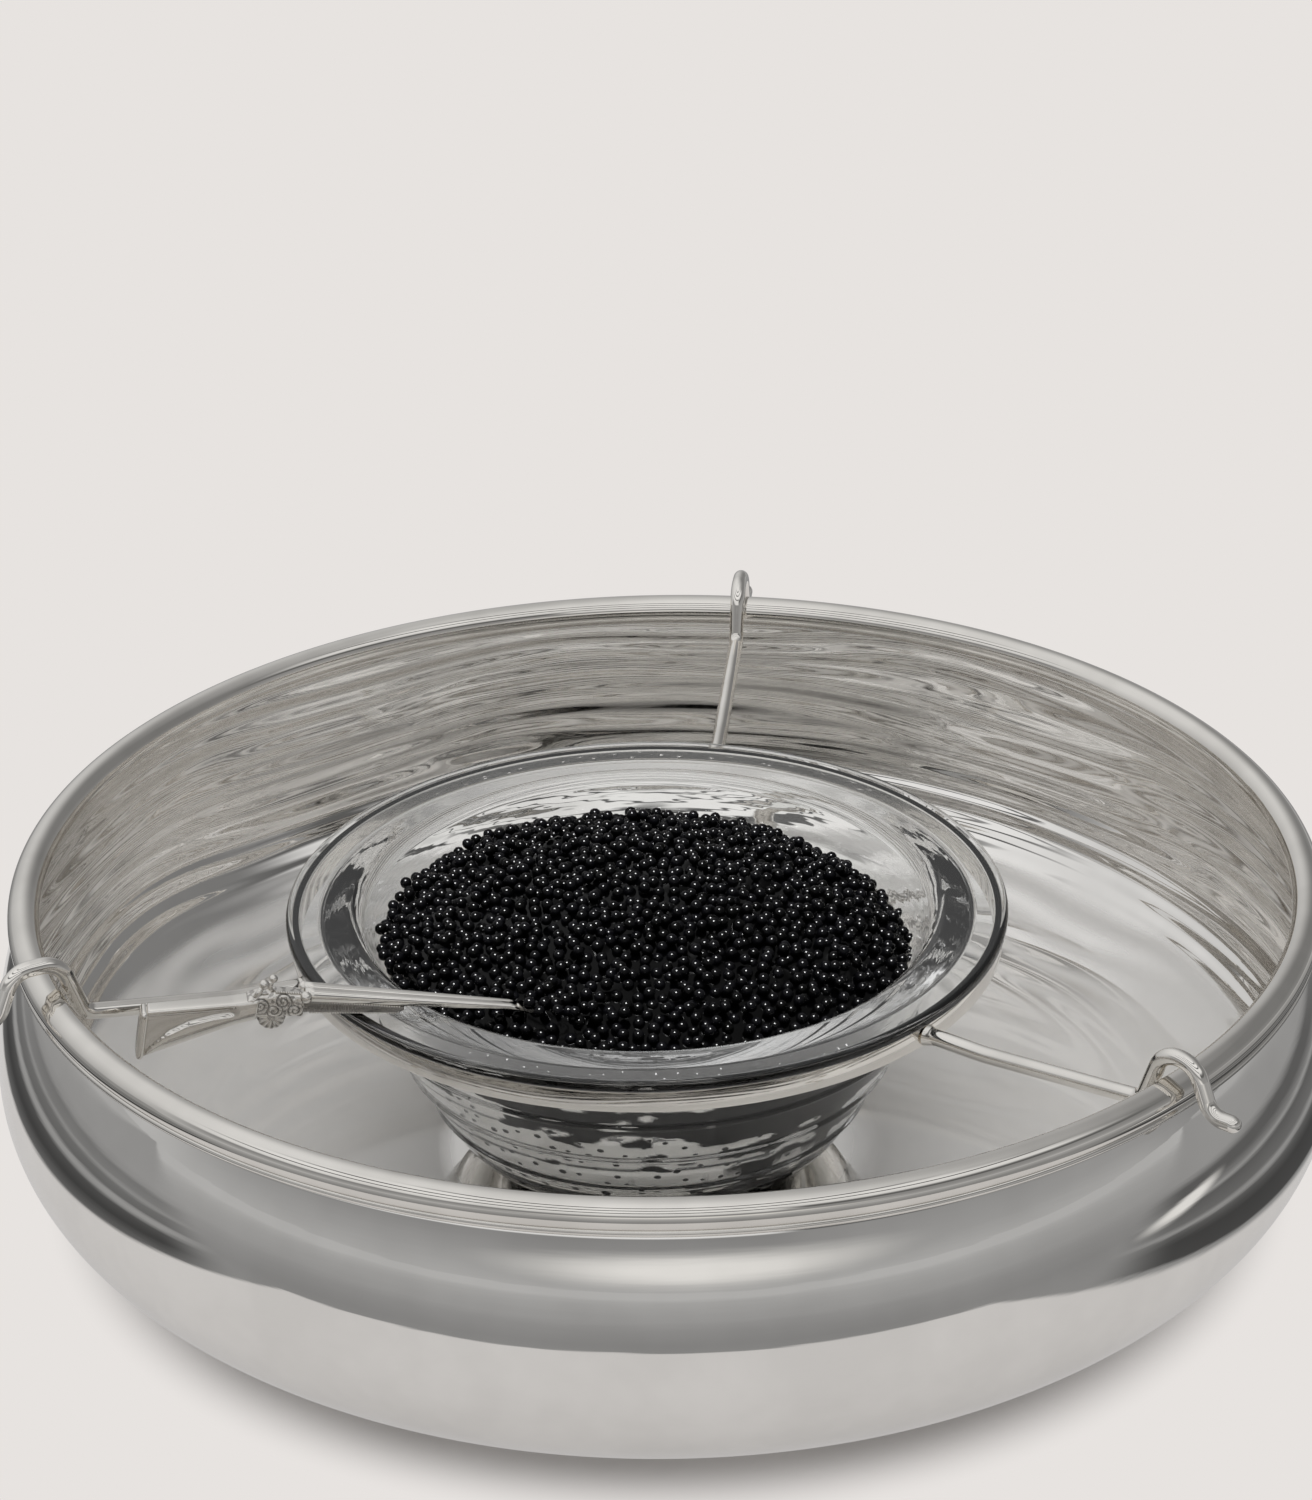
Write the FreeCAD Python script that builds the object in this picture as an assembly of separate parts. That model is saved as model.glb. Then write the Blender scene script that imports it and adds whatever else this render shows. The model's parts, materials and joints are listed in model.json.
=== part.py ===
import FreeCAD, Part
import math
import os

os.makedirs("parts", exist_ok=True)

V = FreeCAD.Vector

# A silver bowl for ice, a wire holder hooked over its rim, a thick glass dish hanging in the
# holder's ring, a heap of roe in the dish and a small spreader laid across the dish.
# Origin: on the bowl's axis, in the plane it stands on. The spreader lies at the left, front is -Y.

# the bowl
rim_radius = 122.0            # to the middle of the rim bead
rim_height = 62.0             # middle of the rim bead above the table
bead_radius = 3.0
wire_radius = 0.75            # thin wire under the bead, on the outside
wire_out = 1.95               # from the middle of the bead, outwards
wire_down = 2.35              # from the middle of the bead, downwards
belly_out = 7.1               # the belly stands this far out past the middle of the bead
belly_radius = rim_radius + belly_out
belly_height = 31.3
base_in = 39.1                # the flat underside ends this far in from the belly
base_radius = belly_radius - base_in
turn_in = 25.0                # the tighter curve just under the belly
sheet = 1.5                   # thickness of the silver
seat_down = 2.7               # the flat seat of the mount below the middle of its bead
neck_out = 0.6                # outside of the sheet at the seat, past the middle of the bead
neck_radius = rim_radius + neck_out

# the holder that hangs over its rim
ring_shift = -3.6             # the ring hangs this far left of the bowl's axis
ring_radius = 68.4            # outside of the band
ring_thick = 1.8
ring_top = rim_height - 8.3
ring_tall = 4.5
rod_radius = 1.55
foot_radius = 2.1             # flared foot where a rod is soldered to the band
joint_drop = 2.4              # middle of the foot below the top of the band
part_gap = 0.3                # between curved faces of different pieces
# for each arm: angle of its foot on the ring, angle of its hook on the rim, extra width and height
arms = {
    "arm_back": (78.0, 81.9, 1.0, -0.5),
    "arm_left": (200.5, 202.4, 1.0, 0.4),
    "arm_right": (318.0, 316.0, -0.9, 0.0),
}

# the glass dish
dish_over = 0.9               # the flange reaches this far out past the ring
dish_radius = ring_radius + dish_over
dish_edge = 2.4               # thickness at the edge of the flange
cone_clear = 6.6              # from the ring's inside to the cone, at cone_height
cone_radius = ring_radius - ring_thick - cone_clear
cone_height = rim_height - 13.0
cone_slope = 0.545            # the outside grows this much for each millimetre of height
glass_top = 7.5               # thickness across the wall at cone_height
well_slope = 0.461            # the same as cone_slope, for the inside
dish_base = 5.0               # underside of the dish above the table
dish_floor = 4.5              # thickness of the glass under the roe
base_round = 14.5
well_round = 12.0
ridge_heights = (37.2, 26.4, 17.3)
ridge_size = 0.5

# the roe
heap_rise = 6.9               # the heap's top above the ring's
heap_top = ring_top + heap_rise
heap_curve = 118.0            # radius of its domed top
heap_lean = 4.5               # the top of the dome lies this far left of the dish's middle
heap_wall = rim_height - 16.0  # the heap's side follows the glass up to this height
heap_low = rim_height - 28.0   # under this height its side turns in towards its foot
heap_clear = 3.0              # from the glass to the heap at heap_low
mound_count = 30              # low mounds all over its top, in a spiral from its middle
mound_apart = 7.7             # the spiral grows by this much times the root of the mound's number
mound_round = 5.0             # radius of each mound
mound_rise = 1.1              # each stands this high above the dome
heap_turn = 10.3              # its flat foot ends this far in from the edge of the well's floor

# the spreader, in its own axes: x along the barrels to the tip, z up, from the middle of the breech
breech_left = 62.6            # from the ring's middle
breech_front = 43.5
breech_lift = 7.4             # above the ring's top
turn = 9.0                    # degrees, seen from above
dip = 10.2                    # degrees, tip down
barrel_long = 39.8
breech_bore = 1.35
muzzle_bore = 0.65
blade_thick = 0.9
blade_long = 24.0
blade_wide = 8.0


def rounded_edges(corners, closed):
    """Straight edges through the corners (point, radius), each corner rounded by its radius."""
    count = len(corners)
    ends = []
    for i, (point, radius) in enumerate(corners):
        if radius <= 0 or (not closed and i in (0, count - 1)):
            ends.append((point, None, point))
            continue
        back = (corners[i - 1][0] - point).normalize()
        ahead = (corners[(i + 1) % count][0] - point).normalize()
        half = back.getAngle(ahead) / 2
        middle = (back + ahead).normalize()
        reach = radius / math.tan(half)
        centre = point + middle * (radius / math.sin(half))
        ends.append((point + back * reach, centre - middle * radius, point + ahead * reach))
    edges = []
    for i, (start, bulge, finish) in enumerate(ends):
        if bulge is not None:
            edges.append(Part.Arc(start, bulge, finish).toShape())
        if i < count - 1 or closed:
            following = ends[(i + 1) % count][0]
            if finish.distanceToPoint(following) > 1e-6:
                edges.append(Part.makeLine(finish, following))
    return edges


def rounded_wire(corners, closed):
    return Part.Wire(rounded_edges(corners, closed))


def spun(wire, centre_x=0.0):
    """A solid turned about the upright axis through centre_x; the wire lies in the XZ plane."""
    solid = Part.Face(wire).revolve(V(0, 0, 0), V(0, 0, 1), 360)
    solid.translate(V(centre_x, 0, 0))
    return solid


def export(shape, name):
    solid = shape.Solids[0] if shape.Solids else shape
    if len(shape.Solids) > 1:
        raise ValueError(name + " is more than one solid")
    solid.exportStep("parts/" + name + ".step")


def flat(x, z):
    return V(x, 0, z)


def bowl_side(inset):
    """The bowl's profile from its base to its neck, as edges, moved inwards by inset."""
    top = rim_height - seat_down
    across = belly_radius - neck_radius
    up = top - belly_height
    upper = (across * across + up * up) / (2 * across)
    middle = belly_radius - upper
    radius = upper - inset
    turned = math.asin(up / radius)
    belly = flat(belly_radius - inset, belly_height)
    half_way = flat(middle + radius * math.cos(turned / 2), belly_height + radius * math.sin(turned / 2))
    neck = flat(middle + radius * math.cos(turned), top)
    wide = belly_radius - base_radius
    flatter = ((wide - turn_in) ** 2 + belly_height ** 2 - turn_in ** 2) / (2 * (belly_height - turn_in))
    side_middle = flat(belly_radius - turn_in, belly_height)
    foot_middle = flat(base_radius, flatter)
    outwards = (side_middle - foot_middle).normalize()
    meeting = side_middle + outwards * (turn_in - inset)
    low_angle = math.atan2(outwards.z, outwards.x)

    def on_arc(centre, angle, size):
        return centre + flat(math.cos(angle), math.sin(angle)) * (size - inset)

    side_arc = Part.Arc(meeting, on_arc(side_middle, low_angle / 2, turn_in), belly)
    halfway = on_arc(foot_middle, (low_angle - math.pi / 2) / 2, flatter)
    foot_arc = Part.Arc(flat(base_radius, inset), halfway, meeting)
    return [foot_arc.toShape(), side_arc.toShape(), Part.Arc(belly, half_way, neck).toShape()], neck


outer_edges, outer_neck = bowl_side(0.0)
inner_edges, inner_neck = bowl_side(sheet)
bowl_wire = Part.Wire(Part.__sortEdges__(
    [Part.makeLine(flat(0, 0), flat(base_radius, 0))]
    + outer_edges
    + [Part.makeLine(outer_neck, inner_neck)]
    + inner_edges
    + [Part.makeLine(flat(base_radius, sheet), flat(0, sheet)), Part.makeLine(flat(0, sheet), flat(0, 0))]
))
export(spun(bowl_wire), "ice_bowl")

# the rim mount: a round bead with a thin wire below it, seated flat on the edge of the sheet
bead = Part.makeTorus(rim_radius, bead_radius, V(0, 0, rim_height))
wire = Part.makeTorus(rim_radius + wire_out, wire_radius, V(0, 0, rim_height - wire_down))
seat = Part.makeCylinder(outer_neck.x + part_gap, bead_radius, V(0, 0, rim_height - seat_down - bead_radius))
export(bead.fuse(wire).cut(seat), "rim_mount")

band_foot = V(ring_shift, 0, ring_top - ring_tall)
band = Part.makeCylinder(ring_radius, ring_tall, band_foot)
band = band.cut(Part.makeCylinder(ring_radius - ring_thick, ring_tall, band_foot))
export(band, "holder_ring")


def hooked_arm(foot_angle, rim_angle, wider, higher):
    """One bent rod from the ring, level and then up, over the rim and out to a rounded tip."""
    foot = V(ring_shift + ring_radius * math.cos(math.radians(foot_angle)),
             ring_radius * math.sin(math.radians(foot_angle)), ring_top - joint_drop)
    facing = math.radians(rim_angle)
    over = V(rim_radius * math.cos(facing), rim_radius * math.sin(facing), 0)
    level = V(over.x - foot.x, over.y - foot.y, 0).normalize()

    def beside_rim(out, up):
        return over + level * out + V(0, 0, rim_height + up)

    start = foot - level * ring_thick
    corners = [
        (start, 0),
        (foot + level * 14 + V(0, 0, 1.2), 30),
        (beside_rim(-6.9, -4.4), 3.2),
        (beside_rim(-2.9, 6.6 + higher), 4.8),
        (beside_rim(4.9 + wider, 6.6 + higher), 4.8),
        (beside_rim(8.6 + wider, -2.2), 4.0),
        (beside_rim(13.2 + wider, -1.9), 0),
    ]
    pieces = []
    for edge in rounded_edges(corners, False):
        here = edge.valueAt(edge.FirstParameter)
        disc = Part.Face(Part.Wire(Part.makeCircle(rod_radius, here, edge.tangentAt(edge.FirstParameter))))
        if isinstance(edge.Curve, Part.Circle):
            bend = math.degrees(edge.LastParameter - edge.FirstParameter)
            pieces.append(disc.revolve(edge.Curve.Center, edge.Curve.Axis, bend))
        else:
            pieces.append(disc.extrude(edge.valueAt(edge.LastParameter) - here))
    outwards = (corners[-1][0] - corners[-2][0]).normalize()
    pieces.append(Part.makeSphere(rod_radius, corners[-1][0], outwards, 0, 90, 360))
    away = (corners[1][0] - start).normalize()
    pieces.append(Part.makeCone(foot_radius, rod_radius - 0.05, 2.4, foot, away))
    pieces.append(Part.makeCylinder(foot_radius, ring_thick, foot - away * ring_thick, away))
    rod = pieces[0].fuse(pieces[1:])
    below_band = V(ring_shift, 0, ring_top - 2 * ring_tall)
    keep_off = Part.makeCylinder(ring_radius + part_gap, 4 * ring_tall, below_band)
    return rod.cut(keep_off)


for arm_name, bends in arms.items():
    export(hooked_arm(*bends), arm_name)

def cone_at(height):
    return cone_radius + cone_slope * (height - cone_height)


def well_at(height):
    return cone_radius - glass_top + well_slope * (height - cone_height)


rim_top = ring_top + dish_edge
well_floor = dish_base + dish_floor
mouth = rim_top - 1.1
dish_wire = rounded_wire([
    (flat(0, dish_base), 0),
    (flat(cone_at(dish_base), dish_base), base_round),
    (flat(cone_at(ring_top), ring_top), 1.5),
    (flat(dish_radius, ring_top), 0.6),
    (flat(dish_radius, rim_top), 1.0),
    (flat(well_at(mouth), mouth), 4.0),
    (flat(well_at(well_floor), well_floor), well_round),
    (flat(0, well_floor), 0),
], True)
dish = spun(dish_wire, ring_shift)
for height in ridge_heights:
    ridge = Part.makeTorus(cone_at(height) - 0.7, 0.7 + ridge_size, V(ring_shift, 0, height))
    dish = dish.fuse(ridge)
export(dish, "glass_dish")

def placed(shape):
    """From the spreader's own axes to where it lies."""
    moved = shape.copy()
    moved.rotate(V(0, 0, 0), V(0, 1, 0), dip)
    moved.rotate(V(0, 0, 0), V(0, 0, 1), turn)
    moved.translate(V(ring_shift - breech_left, -breech_front, ring_top + breech_lift))
    return moved


def slab(points, wide, round_by):
    """A plate cut to the outline (x, z), wide across and centred, its long edges rounded."""
    outline = Part.makePolygon([V(x, -wide / 2, z) for x, z in points + points[:1]])
    solid = Part.Face(outline).extrude(V(0, wide, 0))
    if round_by <= 0:
        return solid
    long_edges = []
    for edge in solid.Edges:
        direction = edge.tangentAt(edge.FirstParameter)
        if abs(direction.y) < 0.01:
            long_edges.append(edge)
    return solid.makeFillet(round_by, long_edges)


stock = slab([(-28, -5.0), (-12.8, -2.3), (-8.6, -1.3), (-8.6, -5.8), (-12.4, -7.1), (-28, -14.9)], 4.4, 1.3)
butt = slab([(-29.2, -5.3), (-27.9, -5.3), (-27.9, -15.4), (-29.2, -15.4)], 4.9, 0.5)
action = slab([(-9.4, -0.4), (-0.3, -0.1), (-0.3, -4.6), (-9.4, -5.0)], 3.9, 0.7)
fore_end = slab([(-0.6, -0.6), (17.2, -0.6), (18.4, -1.6), (17.2, -2.2), (-0.6, -3.6)], 3.5, 0.7)
guard = Part.makeCylinder(2.7, 2.2, V(-5.5, -1.1, -5.2), V(0, 1, 0))
handle = stock.fuse([butt, action, fore_end, guard])
for side in (-1, 1):
    barrel = Part.makeCone(breech_bore, muzzle_bore, barrel_long, V(0, side * 1.1, 0), V(1, 0, 0))
    handle = handle.fuse(barrel)
    handle = handle.fuse(Part.makeSphere(1.0, V(0, side * 1.75, -0.1)))
handle = handle.fuse(Part.makeBox(barrel_long, 1.4, 0.9, V(0, -0.7, -0.5)))
handle = handle.fuse(Part.makeCylinder(0.6, 2.6, V(-5.6, 1.0, -0.6)))
handle = handle.fuse(Part.makeSphere(0.9, V(-5.8, 1.0, 1.9)))
handle = handle.fuse(Part.makeCylinder(0.6, 1.4, V(-7.3, -1.1, -0.8)))
handle = handle.fuse(Part.makeSphere(0.85, V(-7.4, -1.1, 0.5)))
export(placed(handle.removeSplitter()), "spreader_handle")


def blade_with(margin):
    """The flat blade, pointed at the muzzle and rounded at its end, grown by margin all round."""
    half = blade_wide / 2
    start = barrel_long - 2 * margin
    end = barrel_long + blade_long + margin
    outline = rounded_wire([
        (V(start, -0.8 - margin, 0), 0),
        (V(barrel_long + 7, -half - margin, 0), 6),
        (V(end, -half - margin, 0), half - 0.2 + margin),
        (V(end, half + margin, 0), half - 0.2 + margin),
        (V(barrel_long + 7, half + margin, 0), 6),
        (V(start, 0.8 + margin, 0), 0),
    ], True)
    blade = Part.Face(outline).extrude(V(0, 0, blade_thick + 2 * margin))
    blade.translate(V(0, 0, -blade_thick / 2 - margin))
    return placed(blade)


export(blade_with(0.0), "spreader_blade")

heap_foot = well_floor + part_gap
heap_side = well_at(heap_wall) - 0.5
foot_edge = flat(well_at(well_floor) - heap_turn, heap_foot)
turn_up = flat(well_at(well_floor) - heap_turn / 8, well_floor + 8.5)
low_edge = flat(well_at(heap_low) - heap_clear, heap_low)
heap_wire = Part.Wire([
    Part.makeLine(flat(0, heap_foot), foot_edge),
    Part.Arc(foot_edge, turn_up, low_edge).toShape(),
    Part.makeLine(low_edge, flat(heap_side, heap_wall)),
    Part.makeLine(flat(heap_side, heap_wall), flat(heap_side, heap_top + 1)),
    Part.makeLine(flat(heap_side, heap_top + 1), flat(0, heap_top + 1)),
    Part.makeLine(flat(0, heap_top + 1), flat(0, heap_foot)),
])
dome = Part.makeSphere(heap_curve, V(ring_shift - heap_lean, 0, heap_top - heap_curve))
heap = spun(heap_wire, ring_shift).common(dome)
mounds = []
for number in range(mound_count):
    out = mound_apart * math.sqrt(number + 0.5)
    way = math.radians(137.5 * number)
    x, y = out * math.cos(way), out * math.sin(way)
    from_top = math.hypot(x + heap_lean, y)
    surface = heap_top - heap_curve + math.sqrt(heap_curve * heap_curve - from_top * from_top)
    rise = mound_rise * (0.75 + 0.25 * (number % 3))
    mounds.append(Part.makeSphere(mound_round, V(ring_shift + x, y, surface + rise - mound_round), V(1, 0, 0)))
heap = heap.fuse(mounds).cut(blade_with(part_gap))
for side in (-1, 1):
    start = V(0, side * 1.1, 0)
    margin = 2 * part_gap
    room = Part.makeCone(breech_bore + margin, muzzle_bore + margin, barrel_long + margin, start, V(1, 0, 0))
    heap = heap.cut(placed(room))
export(heap, "roe_heap")
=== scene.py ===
import bpy
import bmesh
import json
import math
import random
from mathutils import Matrix, Vector, noise

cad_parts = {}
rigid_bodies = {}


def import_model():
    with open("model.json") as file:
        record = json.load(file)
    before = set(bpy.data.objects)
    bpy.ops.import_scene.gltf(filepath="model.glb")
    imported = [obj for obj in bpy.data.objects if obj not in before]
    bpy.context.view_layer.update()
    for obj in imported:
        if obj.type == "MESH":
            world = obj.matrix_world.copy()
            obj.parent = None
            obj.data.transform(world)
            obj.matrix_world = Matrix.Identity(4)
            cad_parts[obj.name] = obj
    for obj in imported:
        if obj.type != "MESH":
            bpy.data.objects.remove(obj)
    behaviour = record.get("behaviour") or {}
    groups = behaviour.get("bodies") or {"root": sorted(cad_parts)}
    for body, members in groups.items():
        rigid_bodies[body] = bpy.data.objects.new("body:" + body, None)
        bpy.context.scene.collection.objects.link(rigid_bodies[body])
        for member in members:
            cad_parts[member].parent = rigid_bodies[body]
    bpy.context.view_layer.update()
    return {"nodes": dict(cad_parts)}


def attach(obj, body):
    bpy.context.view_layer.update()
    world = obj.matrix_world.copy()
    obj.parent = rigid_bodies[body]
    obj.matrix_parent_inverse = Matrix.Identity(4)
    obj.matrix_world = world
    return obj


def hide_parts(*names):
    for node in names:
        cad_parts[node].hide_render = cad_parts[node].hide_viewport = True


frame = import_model()

# A silver ice bowl, a wire holder hooked over its rim, a thick glass dish of black roe in the
# holder's ring and a small silver spreader across the dish. Sizes are in millimetres, as in the
# part's source, and MM turns them to metres.
MM = 0.001
chance = random.Random(7)

rim_radius, rim_height, bead_radius = 122.0, 62.0, 3.0
wire_radius, wire_out, wire_down = 0.75, 1.95, 2.35
belly_radius, belly_height, base_radius, turn_in = 129.1, 31.3, 90.0, 25.0
sheet, seat_down, neck_radius = 1.5, 2.7, 122.6
ring_shift, ring_radius, ring_thick, ring_top, ring_tall = -3.6, 68.4, 1.8, 53.7, 4.5
dish_radius, rim_top, dish_base, well_floor = 69.3, 56.1, 5.0, 9.5
cone_radius, cone_height, cone_slope, glass_top, well_slope = 60.0, 49.0, 0.545, 7.5, 0.461
ridge_heights, ridge_size = (37.2, 26.4, 17.3), 0.5
heap_top, heap_curve, heap_lean, heap_wall = 60.6, 118.0, 4.5, 46.0
mound_count, mound_apart, mound_round, mound_rise = 30, 7.7, 5.0, 1.1
pearl_size = 2.4
breech, turn, dip = (-66.2, -43.5, 61.1), 9.0, 10.2

# The waves in the bowl's sheet and the matt film on its floor, whose rings behind the dish are painted
# reflection bands
wave_apart, wave_rise, curl_rise, fine_rise, outer_rise, waves_end = 6.5, 0.22, 0.15, 0.03, 0.03, 59.2
film_share, painted_band_film_least, painted_band_film_swing = 0.88, 0.02, 0.93

band_ease = 0.3
top_tries, side_tries, glass_tries = 30000, 9000, 4200
cell_size, batch_of, pearl_pieces = 3, 60, 3
fore_end_low = [(-0.6, -3.7), (17.0, -2.5), (18.4, -1.9)]
butt_line = (-28, -14.9)


# Materials

def linear(code):
    """The sRGB hex code as linear red, green, blue and a full alpha."""
    parts = [int(code[i:i + 2], 16) / 255 for i in (0, 2, 4)]
    return tuple(c / 12.92 if c <= 0.04045 else ((c + 0.055) / 1.055) ** 2.4 for c in parts) + (1.0,)


def add(tree, kind, settings=None, **links):
    """A node of that kind with its settings, each socket given a value or fed by another socket."""
    node = tree.nodes.new(kind)
    for name, value in (settings or {}).items():
        setattr(node, name, value)
    for name, source in links.items():
        key = int(name[1:]) if name[0] == "i" and name[1:].isdigit() else name.replace("_", " ")
        if isinstance(source, bpy.types.NodeSocket):
            tree.links.new(source, node.inputs[key])
        else:
            node.inputs[key].default_value = source
    return node


def material(name):
    """A new material with only its output, as the material, its tree and that output."""
    made = bpy.data.materials.new(name)
    made.use_nodes = True
    tree = made.node_tree
    tree.nodes.clear()
    out = tree.nodes.new("ShaderNodeOutputMaterial")
    return made, tree, out


def ramp(tree, value, stops, easing="EASE"):
    """A colour ramp through the stops (place, grey or colour)."""
    node = add(tree, "ShaderNodeValToRGB", Fac=value)
    node.color_ramp.interpolation = easing
    marks = node.color_ramp.elements
    while len(marks) < len(stops):
        marks.new(0.5)
    for mark, (place, tone) in zip(marks, stops):
        mark.position = place
        mark.color = tone if isinstance(tone, tuple) else (tone, tone, tone, 1)
    return node.outputs["Color"]


def silver(name, tone, rough, wave_across, wave_along, wave_depth, grain_depth, film_and_painted_bands=None, aged=None):
    """Polished silver plate: a near-white metal with a warm cast. Rubbing leaves faint waves and a fine
    grain, sized in millimetres, that bend the reflections. An attribute can lay a matt pale film over the
    mirror, because the bowl's floor looks matt; where that film thins out in rings behind the dish, it paints
    light and dark reflection bands. That the film is lime from ice water is a guess. The aged attribute
    darkens engraved cuts."""
    made, tree, out = material(name)
    place = add(tree, "ShaderNodeTexCoord").outputs["Object"]
    stretched = add(tree, "ShaderNodeMapping", Vector=place,
                    Scale=(1 / (wave_along * MM), 1 / (wave_along * MM), 1 / (wave_across * MM)))
    waves = add(tree, "ShaderNodeTexNoise", Vector=stretched.outputs[0], Scale=1.0, Detail=2.0, Roughness=0.5)
    clouds = add(tree, "ShaderNodeTexNoise", Vector=place, Scale=1 / (28 * MM), Detail=3.0, Roughness=0.65)
    clouding = clouds.outputs["Fac"]
    colour = ramp(tree, clouding, [(0.35, linear(tone[0])), (0.65, linear(tone[1]))])
    if aged:
        cuts = add(tree, "ShaderNodeAttribute", {"attribute_name": aged}).outputs["Fac"]
        colour = add(tree, "ShaderNodeMix", {"data_type": "RGBA"}, Factor=cuts, i6=colour,
                     i7=linear("3B3733")).outputs[2]
    polish = add(tree, "ShaderNodeMapRange", Value=clouding, i1=0.3, i2=0.7, i3=rough * 0.8, i4=rough * 1.2)
    bump = add(tree, "ShaderNodeBump", Height=waves.outputs["Fac"], Strength=1.0, Distance=wave_depth * MM)
    if grain_depth:
        grain = add(tree, "ShaderNodeTexNoise", Vector=place, Scale=1 / (0.9 * MM), Detail=3.0, Roughness=0.6)
        bump = add(tree, "ShaderNodeBump", Height=grain.outputs["Fac"], Strength=1.0,
                   Distance=grain_depth * MM, Normal=bump.outputs[0])
    metal = add(tree, "ShaderNodeBsdfPrincipled", Base_Color=colour, Metallic=1.0,
                Roughness=polish.outputs[0], Normal=bump.outputs[0])
    if film_and_painted_bands:
        film = add(tree, "ShaderNodeBsdfPrincipled", Base_Color=linear("E4E2DF"), Roughness=0.45,
                   Normal=bump.outputs[0])
        # the film's share, which on the bowl also holds the rings of painted reflection bands
        film_and_band_share = add(tree, "ShaderNodeAttribute", {"attribute_name": film_and_painted_bands}).outputs["Fac"]
        patchy = add(tree, "ShaderNodeMapRange", Value=clouding, i1=0.3, i2=0.7, i3=0.92, i4=1.0)
        share = add(tree, "ShaderNodeMath", {"operation": "MULTIPLY"}, i0=film_and_band_share, i1=patchy.outputs[0])
        metal = add(tree, "ShaderNodeMixShader", Fac=share.outputs[0], i1=metal.outputs[0],
                    i2=film.outputs[0])
    tree.links.new(metal.outputs[0], out.inputs["Surface"])
    return made


bowl_silver = silver("spun_silver_plate", ("E7E5E2", "EEECE9"), 0.03, 1.6, 26.0, 0.006, 0.0, "film_and_painted_bands")
rim_silver = silver("drawn_silver_bead", ("DEDBD6", "E9E6E1"), 0.04, 9.0, 14.0, 0.010, 0.0002)
rod_silver = silver("bent_silver_rod", ("E2DFDA", "EFECE7"), 0.06, 7.0, 7.0, 0.030, 0.0010)
engraved_silver = silver("engraved_cast_silver", ("E0DDD8", "EDEAE5"), 0.09, 5.0, 5.0, 0.020, 0.0030,
                         aged="cuts")
band_silver = silver("silver_band", ("E2DFDA", "EFECE7"), 0.04, 3.0, 12.0, 0.008, 0.0006)


def clear_glass():
    """Pressed lead glass: colourless, fire-polished, with long faint ripples from the mould."""
    made, tree, out = material("pressed_clear_glass")
    place = add(tree, "ShaderNodeTexCoord").outputs["Object"]
    stretched = add(tree, "ShaderNodeMapping", Vector=place,
                    Scale=(1 / (16 * MM), 1 / (16 * MM), 1 / (2.2 * MM)))
    ripples = add(tree, "ShaderNodeTexNoise", Vector=stretched.outputs[0], Scale=1.0, Detail=2.0)
    bump = add(tree, "ShaderNodeBump", Height=ripples.outputs["Fac"], Strength=1.0, Distance=0.035 * MM)
    tint = ramp(tree, ripples.outputs["Fac"], [(0.3, linear("FAFBFA")), (0.7, linear("FEFEFE"))])
    glass = add(tree, "ShaderNodeBsdfPrincipled", Base_Color=tint, Roughness=0.0, IOR=1.52,
                Normal=bump.outputs[0])
    glass.inputs["Transmission Weight"].default_value = 1.0
    tree.links.new(glass.outputs[0], out.inputs["Surface"])
    return made


def black_roe():
    """Salted sturgeon roe: near-black pearls with a cool cast and a wet skin, so each one has a sharp
    highlight. The tone shifts a little from pearl to pearl. Seen through the dish, parts of the real heap
    look silvery. There an attribute draws the roe itself as a mirror, a painted reflection that stands in for
    a film of air behind the glass, which is a guess."""
    made, tree, out = material("black_sturgeon_roe")
    place = add(tree, "ShaderNodeTexCoord").outputs["Object"]
    patch = add(tree, "ShaderNodeTexNoise", Vector=place, Scale=1 / (3.0 * MM), Detail=1.0)
    colour = ramp(tree, patch.outputs["Fac"], [(0.3, linear("010101")), (0.7, linear("030304"))])
    skin = add(tree, "ShaderNodeTexNoise", Vector=place, Scale=1 / (0.5 * MM), Detail=2.0)
    bump = add(tree, "ShaderNodeBump", Height=skin.outputs["Fac"], Strength=1.0, Distance=0.01 * MM)
    wet = add(tree, "ShaderNodeBsdfPrincipled", Base_Color=colour, Roughness=0.12, IOR=1.38,
              Normal=bump.outputs[0])
    wet.inputs["Specular IOR Level"].default_value = 0.17
    # a painted reflection: where air would lie behind the glass, the roe itself is drawn as a silver mirror
    air = add(tree, "ShaderNodeBsdfPrincipled", Base_Color=linear("F2F1EF"), Metallic=1.0, Roughness=0.06,
              Normal=bump.outputs[0])
    painted_mirror_share = add(tree, "ShaderNodeAttribute", {"attribute_name": "painted_mirror_share"}).outputs["Fac"]
    either_one = add(tree, "ShaderNodeMixShader", Fac=painted_mirror_share, i1=wet.outputs[0], i2=air.outputs[0])
    tree.links.new(either_one.outputs[0], out.inputs["Surface"])
    return made


glass_material = clear_glass()
roe_material = black_roe()


# Shapes

def arc(centre, radius, start, end, count):
    """Points (x, z) on a circle from start to end, in degrees."""
    angles = [math.radians(start + (end - start) * i / count) for i in range(count + 1)]
    return [(centre[0] + radius * math.cos(a), centre[1] + radius * math.sin(a)) for a in angles]


def without_repeats(points):
    """The points without any that lies on the one before it."""
    kept = points[:1]
    for point in points[1:]:
        if math.dist(point, kept[-1]) > 1e-4:
            kept.append(point)
    return kept


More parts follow.
